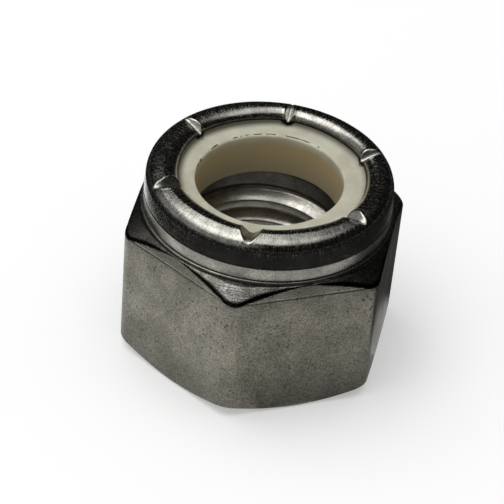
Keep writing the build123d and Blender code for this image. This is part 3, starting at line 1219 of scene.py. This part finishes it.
# ---- Finishes ----------------------------------------------------------------------------------


def new_material(name: str) -> tuple:
    """Starts a material with a Principled shader.

    Args:
        name: name of the material.

    Returns:
        The material, its sheet, its shader node and the position in millimetres.
    """
    material = bpy.data.materials.new(name)
    material.use_nodes = True
    sheet = NodeSheet(material.node_tree)
    shader = material.node_tree.nodes["Principled BSDF"]
    place = sheet.scaled(sheet.node("ShaderNodeTexCoord").outputs["Object"], 1.0 / MM)
    return material, sheet, shader, place


@dataclass(frozen=True)
class SteelFinish:
    """A metal finish: two tones, a range of roughness, and the marks that break it up.

    Specks, scores and pits are left out where their strength is zero. Lengths are in millimetres.
    """

    name: str
    dark: Colour
    light: Colour
    smooth: float
    rough: float
    cloud_size: float
    grain_bump: float
    grain_size: float = 0.13
    tone_span: Span = (0.36, 0.64)  # levels of the clouds between which the tone changes
    speckle: float = 0.15
    speckle_span: Span = (0.3, 0.7)
    roughness_span: Span = (0.3, 0.7)
    speck_roughness: float = 0.0
    speck_span: Span = (0.50, 0.68)
    scratched_from: float = 0.0  # heights between which specks and scores come in
    scratched_to: float = 0.1
    scratched_least: float = 0.15
    pit_cover: float = 0.0
    pit_spacing: float = 0.34
    pit_width: float = 0.13
    pit_depth: float = 0.03
    pit_tone: Colour = (0.03, 0.028, 0.022)
    pit_strength: float = 0.8
    score_count: float = 0.0
    score_length: float = 1.1
    score_bump: float = 0.0
    score_roughness: float = 0.20
    score_span: Span = (0.45, 0.70)
    feed: float = 0.0  # spacing of the turning marks
    feed_bump: float = 0.0
    # worn edges take a lighter tone; a near-black tone here instead paints a dark reflection along the
    # roundings
    edge_wear_and_shade_tone: Colour = (0.40, 0.39, 0.35)
    edge_wear_and_shade: float = 0.2
    edge_patches: Patches = (0.35, 0.6, 0.4, 1.0)
    stake_roughness: float = 0.30
    # pressed metal in the stakes, painted brighter in patches: partly its own tone, partly a painted
    # highlight
    stake_pressed_and_highlight_tone: Colour = (0.68, 0.67, 0.62)
    stake_patches: Patches = (0.40, 0.58, 0.15, 0.90)
    # painted shade: tone, and added roughness, where the grime mark lies
    painted_shade_roughness: float = 0.3
    painted_shade_tone: Colour = (0.022, 0.019, 0.014)
    painted_foot_shade: float = 0.0  # painted shade: how much darker the colour is painted at the bearing face
    foot_height: float = 6.5  # height where that ends

    def material(self, effects: Effects) -> bpy.types.Material:
        """Builds the material.

        Args:
            effects: the shared node groups.

        Returns:
            The finished material.
        """
        material, sheet, shader, place = new_material(self.name)
        clouds = sheet.effect(effects.grain, place, Size=self.cloud_size, Detail=3.0)
        grain = sheet.effect(effects.grain, place, Size=self.grain_size, Detail=4.0)
        level = sheet.height(place)
        colour = sheet.blend(sheet.remap(clouds, *self.tone_span), self.dark, self.light)
        fleck = sheet.remap(grain, *self.speckle_span, 1.0 - self.speckle, 1.0 + self.speckle)
        colour = sheet.blend(1.0, colour, fleck, "MULTIPLY")
        # Painted shade: darker towards the bearing face, standing in for the floor's shadow seen in the
        # flats
        if self.painted_foot_shade > 0.0:
            shade = sheet.remap(level, 0.0, self.foot_height, 1.0 - self.painted_foot_shade)
            colour = sheet.blend(1.0, colour, shade, "MULTIPLY")
        # Edge tone on the roundings: a lighter tone is wear; the turned finish's near-black tone is a
        # painted dark reflection
        edge_worn_and_shaded = sheet.maths("MULTIPLY", sheet.mark("edge"), sheet.remap(grain, *self.edge_patches))
        edge_worn_and_shaded = sheet.maths("MULTIPLY", edge_worn_and_shaded, self.edge_wear_and_shade, True)
        colour = sheet.blend(edge_worn_and_shaded, colour, self.edge_wear_and_shade_tone)
        roughness = sheet.remap(clouds, *self.roughness_span, self.rough, self.smooth)
        scratched = sheet.remap(level, self.scratched_from, self.scratched_to, self.scratched_least)
        if self.speck_roughness > 0.0:
            specks = sheet.remap(grain, *self.speck_span, 0.0, self.speck_roughness)
            roughness = sheet.maths("ADD", roughness, sheet.maths("MULTIPLY", specks, scratched))
        # Bright patches in the stakes: partly pressed metal, partly a painted highlight
        stake = sheet.mark("stake")
        stake_pressed_and_highlight = sheet.maths("MULTIPLY", stake, sheet.remap(grain, *self.stake_patches))
        colour = sheet.blend(stake_pressed_and_highlight, colour, self.stake_pressed_and_highlight_tone)
        pressed = sheet.maths("MULTIPLY", stake, self.stake_roughness)
        roughness = sheet.maths("MAXIMUM", roughness, pressed)
        height = sheet.maths("MULTIPLY", grain, self.grain_bump)
        if self.score_count > 0.0:
            scores = sheet.effect(
                effects.scores, place, Count=self.score_count, Length=self.score_length)
            cuts = sheet.maths("MULTIPLY", sheet.maths("MULTIPLY", scores, self.score_bump), scratched)
            height = sheet.maths("ADD", height, cuts)
            dull = sheet.remap(scores, *self.score_span, 0.0, self.score_roughness)
            roughness = sheet.maths("ADD", roughness, sheet.maths("MULTIPLY", dull, scratched))
        if self.feed > 0.0:
            marks = sheet.effect(effects.lathe, place, Feed=self.feed, Breakup=0.5)
            height = sheet.maths("ADD", height, sheet.maths("MULTIPLY", marks, self.feed_bump))
        if self.pit_cover > 0.0:
            pits = sheet.effect(
                effects.pits, place,
                Spacing=self.pit_spacing, Width=self.pit_width, Cover=self.pit_cover)
            dark = sheet.maths("MULTIPLY", pits, self.pit_strength)
            colour = sheet.blend(dark, colour, self.pit_tone)
            height = sheet.maths("SUBTRACT", height, sheet.maths("MULTIPLY", pits, self.pit_depth))
        # Painted shade: the colour goes near black where the grime mark lies, and the surface a little
        # duller.
        grime = sheet.mark("grime")
        colour = sheet.blend(grime, colour, self.painted_shade_tone)
        shade_dulling = sheet.maths("MULTIPLY", grime, self.painted_shade_roughness)
        sheet.feed(shader.inputs["Base Color"], colour)
        sheet.feed(shader.inputs["Roughness"], sheet.maths("ADD", roughness, shade_dulling, True))
        sheet.feed(shader.inputs["Normal"], sheet.bump(height))
        shader.inputs["Metallic"].default_value = 1.0
        return material


@dataclass(frozen=True)
class NylonFinish:
    """Moulded nylon: ivory with a green cast, painted browner and darker in its bore as shade, with
    crumbs on the edge.
    """

    name: str = "moulded_nylon"
    shade: Colour = (0.56, 0.54, 0.42)
    light: Colour = (0.68, 0.67, 0.53)
    tone_span: Span = (0.35, 0.65)  # levels of the clouds between which the tone changes
    cloud_size: float = 2.4
    cloud_bump: float = 0.05
    fine_size: float = 0.12
    fine_bump: float = 0.006
    roughness: float = 0.40
    roughness_range: float = 0.06  # either side
    roughness_span: Span = (0.3, 0.7)
    # painted shade of the bore, warmer and darker further in
    bore_painted_shade_tone: Colour = (0.53, 0.43, 0.235)
    bore_outer: float = 5.75  # radii between which the top turns into the bore
    bore_inner: float = 5.55
    bore_from: float = 14.10  # heights between which the bore's painted shade comes in
    bore_to: float = 13.10
    deep_painted_shade_tone: Colour = (0.43, 0.365, 0.225)
    deep_to: float = 10.8
    edge_radius: float = 5.51
    edge_width: float = 0.08
    edge_core: float = 0.4  # share of that width where crumbs are whole
    edge_centre: tuple[float, float, float] = (0.12, 0.05, 0.0)
    crumb: Colour = (0.05, 0.045, 0.03)
    crumb_size: float = 0.9
    crumb_span: Span = (0.51, 0.55)
    crumb_side: tuple[float, float, float] = (-0.17, 0.98, 0.0)  # direction where they gather
    crumb_reach: float = 2.4  # distance that way from the axis where they are all there
    crumb_from: float = 13.9  # heights between which they come in
    crumb_to: float = 14.0
    # painted shade under the lip, on the rim
    painted_rim_shade: Colour = (0.075, 0.062, 0.042)
    rim_shade_patches: Patches = (0.0, 0.9, 0.0, 0.95)  # here of the painted shade itself
    specular: float = 0.45
    scatter: float = 0.35
    depth: Colour = (1.0, 0.85, 0.5)  # how far each colour goes in, as shares of the scale
    depth_scale: float = 0.9

    def material(self, effects: Effects) -> bpy.types.Material:
        """Builds the material.

        Args:
            effects: the shared node groups.

        Returns:
            The finished material.
        """
        material, sheet, shader, place = new_material(self.name)
        clouds = sheet.effect(effects.grain, place, Size=self.cloud_size, Detail=3.0)
        fine = sheet.effect(effects.grain, place, Size=self.fine_size, Detail=2.0)
        broken = sheet.effect(effects.grain, place, Size=self.crumb_size, Detail=3.0)
        flat = sheet.vector("MULTIPLY", place, (1.0, 1.0, 0.0))
        level = sheet.height(place)
        colour = sheet.blend(sheet.remap(clouds, *self.tone_span), self.shade, self.light)
        # Painted shade in the bore: browner below its top edge, darker further down
        in_bore = sheet.remap(sheet.measure("LENGTH", flat), self.bore_outer, self.bore_inner)
        below = sheet.remap(level, self.bore_from, self.bore_to)
        deep = sheet.remap(level, self.bore_to, self.deep_to)
        wall = sheet.blend(deep, self.bore_painted_shade_tone, self.deep_painted_shade_tone)
        colour = sheet.blend(sheet.maths("MULTIPLY", in_bore, below), colour, wall)
        reach = sheet.measure("LENGTH", sheet.vector("SUBTRACT", flat, self.edge_centre))
        off_edge = sheet.maths("ABSOLUTE", sheet.maths("SUBTRACT", reach, self.edge_radius))
        crumbs = sheet.remap(off_edge, self.edge_width, self.edge_core * self.edge_width)
        aside = sheet.measure("DOT_PRODUCT", flat, self.crumb_side)
        for mask in (
            sheet.remap(broken, *self.crumb_span),
            sheet.remap(level, self.crumb_from, self.crumb_to),
            sheet.remap(aside, 0.0, self.crumb_reach),
        ):
            crumbs = sheet.maths("MULTIPLY", crumbs, mask)
        colour = sheet.blend(crumbs, colour, self.crumb)
        # Painted shade on the rim, where the grime mark lies
        rim_shaded = sheet.remap(sheet.mark("grime"), *self.rim_shade_patches)
        colour = sheet.blend(rim_shaded, colour, self.painted_rim_shade)
        grain = sheet.maths("MULTIPLY", fine, self.fine_bump)
        swell = sheet.maths("MULTIPLY", clouds, self.cloud_bump)
        low, high = self.roughness - self.roughness_range, self.roughness + self.roughness_range
        sheet.feed(shader.inputs["Base Color"], colour)
        sheet.feed(shader.inputs["Roughness"], sheet.remap(fine, *self.roughness_span, low, high))
        sheet.feed(shader.inputs["Normal"], sheet.bump(sheet.maths("ADD", grain, swell)))
        shader.inputs["Subsurface Weight"].default_value = self.scatter
        shader.inputs["Subsurface Radius"].default_value = self.depth
        shader.inputs["Subsurface Scale"].default_value = self.depth_scale * MM
        shader.inputs["Specular IOR Level"].default_value = self.specular
        return material


# The satin flats carry painted shade towards the bearing face.
SATIN_STEEL = SteelFinish(
    "satin_steel", dark=(0.198, 0.190, 0.154), light=(0.250, 0.240, 0.198), smooth=0.29, rough=0.37,
    cloud_size=2.4, grain_bump=0.016, speckle=0.42, pit_cover=0.47, painted_foot_shade=0.36,
)
DRAWN_STEEL = SteelFinish(
    "drawn_steel", dark=(0.34, 0.33, 0.29), light=(0.43, 0.42, 0.37), smooth=0.26, rough=0.33,
    cloud_size=1.6, grain_bump=0.010, speckle=0.30,
)
BURNISHED_STEEL = SteelFinish(
    "burnished_steel", dark=(0.38, 0.37, 0.33), light=(0.54, 0.53, 0.48), smooth=0.10, rough=0.16,
    cloud_size=0.9, grain_size=0.15, grain_bump=0.006, speckle=0.25, speck_roughness=0.20,
    scratched_from=13.8, scratched_to=14.6, score_count=110.0, score_bump=0.010,
)
# Its near-black edge tone paints a dark reflection along the turned roundings.
TURNED_STEEL = SteelFinish(
    "turned_steel", dark=(0.19, 0.185, 0.165), light=(0.34, 0.33, 0.30), smooth=0.20, rough=0.30,
    cloud_size=0.8, grain_bump=0.020, speckle=0.4, feed=0.10, feed_bump=0.018,
    edge_wear_and_shade_tone=(0.016, 0.015, 0.012), edge_wear_and_shade=1.8,
)
THREADED_STEEL = SteelFinish(
    "threaded_steel", dark=(0.40, 0.385, 0.34), light=(0.54, 0.52, 0.47), smooth=0.14, rough=0.24,
    cloud_size=1.2, grain_size=0.14, grain_bump=0.006,
)
BODY_FINISHES = {
    Finish.SATIN: SATIN_STEEL,
    Finish.BURNISHED: BURNISHED_STEEL,
    Finish.TURNED: TURNED_STEEL,
    Finish.THREADED: THREADED_STEEL,
    Finish.DRAWN: DRAWN_STEEL,
}


# ---- Studio ------------------------------------------------------------------------------------


def polar(azimuth: float, elevation: float, distance: float) -> np.ndarray:
    """Point at a distance from the origin, at an azimuth from +X and an elevation, in degrees."""
    a, e = math.radians(azimuth), math.radians(elevation)
    return distance * np.array([math.cos(e) * math.cos(a), math.cos(e) * math.sin(a), math.sin(e)])


def add_object(name: str, data: bpy.types.ID) -> bpy.types.Object:
    """Links a new object to the scene.

    Args:
        name: name of the object.
        data: its mesh, lamp or camera.

    Returns:
        The new object.
    """
    item = bpy.data.objects.new(name, data)
    bpy.context.scene.collection.objects.link(item)
    return item


def face_towards(item: bpy.types.Object, place: np.ndarray, target: np.ndarray) -> None:
    """Puts a lamp at a place and turns its -Z axis to a target.

    Args:
        item: the lamp.
        place: where it stands, in metres.
        target: the point that it faces, in metres.
    """
    item.location = Vector(place)
    item.rotation_mode = "QUATERNION"
    item.rotation_quaternion = Vector(target - place).to_track_quat("-Z", "Y")


def matt_paint(name: str, tone: Colour) -> tuple:
    """Starts a matt material without a highlight.

    Args:
        name: name of the material.
        tone: its colour.

    Returns:
        The material, its sheet and its shader node.
    """
    material, sheet, shader, _ = new_material(name)
    sheet.feed(shader.inputs["Base Color"], tone)
    shader.inputs["Roughness"].default_value = MATT
    shader.inputs["Specular IOR Level"].default_value = 0.0
    return material, sheet, shader


class Outline(Enum):
    """Outlines of a lamp; each value is the share of its width times height that it covers."""

    RECTANGLE = 1.0
    ELLIPSE = math.pi / 4


@dataclass(frozen=True)
class SoftBox:
    """Flat lamp, in metres, aimed at the nut."""

    name: str
    azimuth: float
    elevation: float
    distance: float
    width: float
    height: float
    radiance: float
    shape: Outline = Outline.RECTANGLE

    def build(self) -> bpy.types.Object:
        """Makes the lamp; its power is radiance times pi times its area.

        Returns:
            The lamp's object.
        """
        lamp = bpy.data.lights.new(self.name, "AREA")
        lamp.shape = self.shape.name
        lamp.size, lamp.size_y = self.width, self.height
        lamp.energy = self.radiance * math.pi * self.width * self.height * self.shape.value
        item = add_object(self.name, lamp)
        face_towards(item, polar(self.azimuth, self.elevation, self.distance), np.zeros(3))
        return item


@dataclass(frozen=True)
class Flag:
    """Matt card bent round the axis, in metres, which only reflections show."""

    name: str
    azimuth_from: float
    azimuth_to: float
    inner: tuple[float, float]
    outer: tuple[float, float]
    centre: tuple[float, float, float] = (0.0, 0.0, 0.0)
    shade: float = 0.02  # of its paint: near 0 is black, near 1 white
    columns: int = 97

    def build(self) -> bpy.types.Object:
        """Makes the card: (radius, height) goes straight from inner to outer at each azimuth.

        Returns:
            The card's object.
        """
        angles = np.radians(np.linspace(self.azimuth_from, self.azimuth_to, self.columns))
        rows = run(ring(*self.inner, self.columns), ring(*self.outer, self.columns), 2)
        points = spin(rows, angles) + np.array(self.centre)
        grid = np.arange(rows.shape[0] * self.columns).reshape(rows.shape[0], self.columns)
        mesh = bpy.data.meshes.new(self.name)
        mesh.from_pydata(points.reshape(-1, 3), [], quads(grid[:, :-1], grid[:, 1:]).tolist())
        mesh.materials.append(matt_paint(self.name, (self.shade,) * 3)[0])
        item = add_object(self.name, mesh)
        item.visible_camera = False
        item.visible_diffuse = False
        item.visible_shadow = False
        return item


@dataclass(frozen=True)
class Floor:
    """Plain pale floor that keeps the nut's shadow and disappears from below."""

    radii: tuple[float, ...] = (0.0005, 0.05, 0.2, 0.6, 1.4)
    level: float = -0.00002
    tone: Colour = (0.86, 0.86, 0.86)
    lift: float = 0.32
    columns: int = 96

    def build(self) -> bpy.types.Object:
        """Makes the floor as a disc of rings; each ring is a circle round the axis.

        Returns:
            The floor's object.
        """
        count = self.columns
        angles = np.linspace(0.0, 2 * math.pi, count, endpoint=False)
        rows = np.stack([ring(radius, self.level, count) for radius in self.radii])
        points = spin(rows, angles).reshape(-1, 3)
        grid = np.arange(len(self.radii) * count).reshape(len(self.radii), count)
        wrapped = np.concatenate([grid, grid[:, :1]], axis=1)
        faces = quads(wrapped[:, 1:], wrapped[:, :-1])
        mesh = bpy.data.meshes.new("studio_floor")
        mesh.from_pydata(points, [], faces.tolist() + [grid[0].tolist()])
        mesh.materials.append(self.material())
        item = add_object("studio_floor", mesh)
        return item

    def material(self) -> bpy.types.Material:
        """Matt paint, lifted towards white for camera, glossy and transmission rays.

        Returns:
            The material, which is clear from below.
        """
        material, sheet, shader = matt_paint("floor_paint", self.tone)
        lift = sheet.maths("MULTIPLY", sheet.seen(), self.lift)
        glow = sheet.node("ShaderNodeEmission", {"Color": (1.0, 1.0, 1.0), "Strength": lift})
        lit = sheet.node("ShaderNodeAddShader", {0: shader.outputs[0], 1: glow.outputs[0]})
        below = sheet.node("ShaderNodeNewGeometry").outputs["Backfacing"]
        clear = sheet.node("ShaderNodeBsdfTransparent")
        both = sheet.node("ShaderNodeMixShader", {0: below, 1: lit.outputs[0], 2: clear.outputs[0]})
        output = material.node_tree.nodes["Material Output"]
        material.node_tree.links.new(both.outputs[0], output.inputs["Surface"])
        return material


@dataclass(frozen=True)
class Backdrop:
    """World: white where camera, glossy and transmission rays see it, a dim room elsewhere."""

    room: float = 0.34

    def build(self) -> None:
        """Makes the world and gives it to the scene."""
        world = bpy.data.worlds.new("studio")
        world.use_nodes = True
        sheet = NodeSheet(world.node_tree)
        rest = sheet.maths("MULTIPLY", sheet.seen(), 1.0 - self.room)
        back = world.node_tree.nodes["Background"]
        back.inputs["Color"].default_value = (1.0, 1.0, 1.0, 1.0)
        sheet.feed(back.inputs["Strength"], sheet.maths("ADD", self.room, rest))
        bpy.context.scene.world = world


@dataclass(frozen=True)
class Viewpoint:
    """Camera on a sphere round a point on the nut's axis; angles in degrees, lengths in mm."""

    azimuth: float = -110.09
    elevation: float = 38.40
    roll: float = 5.26
    distance: float = 153.5
    aim: tuple[float, float, float] = (-0.777, 0.284, 7.119)
    focal_length: float = 145.7
    sensor: float = 36.0

    def build(self) -> bpy.types.Object:
        """Makes the camera. Its right and up directions are turned by the roll in their plane.

        Returns:
            The camera's object.
        """
        back = polar(self.azimuth, self.elevation, 1.0)
        level = np.cross(np.array([0.0, 0.0, 1.0]), back)
        level = level / np.linalg.norm(level)
        upright = np.cross(back, level)
        cos, sin = math.cos(math.radians(self.roll)), math.sin(math.radians(self.roll))
        right, up = cos * level + sin * upright, cos * upright - sin * level
        place = (np.array(self.aim) + back * self.distance) * MM
        camera = bpy.data.cameras.new("camera")
        camera.lens, camera.sensor_width = self.focal_length, self.sensor
        camera.clip_start, camera.clip_end = 0.01, 10.0
        item = add_object("camera", camera)
        turn = np.eye(4)
        turn[:3, 0], turn[:3, 1], turn[:3, 2], turn[:3, 3] = right, up, back, place
        item.matrix_world = Matrix(turn.tolist())
        bpy.context.scene.camera = item
        return item


STUDIO_LAMPS = (
    SoftBox("roof_box", 0.0, 90.0, 0.50, 0.58, 0.58, 0.45, Outline.ELLIPSE),
    SoftBox("zenith_box", 0.0, 90.0, 0.45, 0.36, 0.36, 0.58, Outline.ELLIPSE),
    SoftBox("main_box", 150.0, 67.0, 0.48, 0.56, 0.25, 1.15),
    SoftBox("core_box", 150.0, 67.0, 0.46, 0.38, 0.15, 0.75),
    SoftBox("left_box", 183.0, 36.0, 0.50, 0.95, 0.42, 0.28),
)
STUDIO_FLAGS = (
    Flag("low_flag", 0.0, 360.0, (0.0243, 0.0003), (0.60, 0.0003), (-0.0005, -0.00087, 0.0)),
    Flag("side_flag", -35.0, 80.0, (0.0118, 0.0002), (0.0243, 0.0002), shade=0.12),
    Flag("right_flag", 255.0, 325.0, (0.0097, 0.0002), (0.0208, 0.0002), shade=0.90),
    Flag("room_flag", 0.0, 360.0, (0.95, -0.05), (0.95, 1.6)),
    Flag("roof_flag", 0.0, 360.0, (0.95, 1.6), (0.001, 1.6)),
)


# ---- Assembly ----------------------------------------------------------------------------------


def thread_radius(record: dict) -> float:
    """Minor radius of the thread in millimetres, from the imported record's threaded hole."""
    holes = [mount for mount in record["mounts"] if mount["kind"] == "threaded_hole"]
    return float(holes[0]["dims"]["r_mm"])


def main() -> None:
    """Builds the two pieces, then the studio, and reports each piece."""
    logging.basicConfig(level=logging.INFO, format="%(name)s: %(message)s")
    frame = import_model()
    _, steel_high = (np.array(corner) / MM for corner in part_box("nut_body"))
    nylon_low, nylon_high = (np.array(corner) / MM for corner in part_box("nylon_insert"))
    minor = thread_radius(frame["record"])
    insert_top = float(nylon_high[2]) - RIM_RISE
    effects = Effects()

    body = SteelBody(
        flat_radius=float(steel_high[1]),
        crown=float(steel_high[2]),
        minor_radius=minor,
        insert_top=insert_top,
        seat_floor=float(nylon_low[2]),
    )
    materials = [BODY_FINISHES[finish].material(effects) for finish in Finish]
    steel = make_piece("steel_body", body.strips(), materials)
    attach(steel, "root")
    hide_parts("nut_body")
    LOG.info("%s: %d faces", steel.name, len(steel.data.polygons))

    insert = NylonRing(
        outer_radius=float(nylon_high[0]),
        bore_radius=minor + BORE_ALLOWANCE,
        bottom=float(nylon_low[2]),
        top=insert_top,
        rim_rise=RIM_RISE,
    )
    rows = insert.strips(body.collar(), body.stakes())
    nylon = make_piece("nylon_ring", rows, [NylonFinish().material(effects)])
    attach(nylon, "root")
    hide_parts("nylon_insert")
    LOG.info("%s: %d faces", nylon.name, len(nylon.data.polygons))

    Floor().build()
    Backdrop().build()
    for part in STUDIO_LAMPS + STUDIO_FLAGS:
        part.build()
    Viewpoint().build()
    bpy.context.scene.view_settings.view_transform = "Standard"


if __name__ == "__main__":
    main()
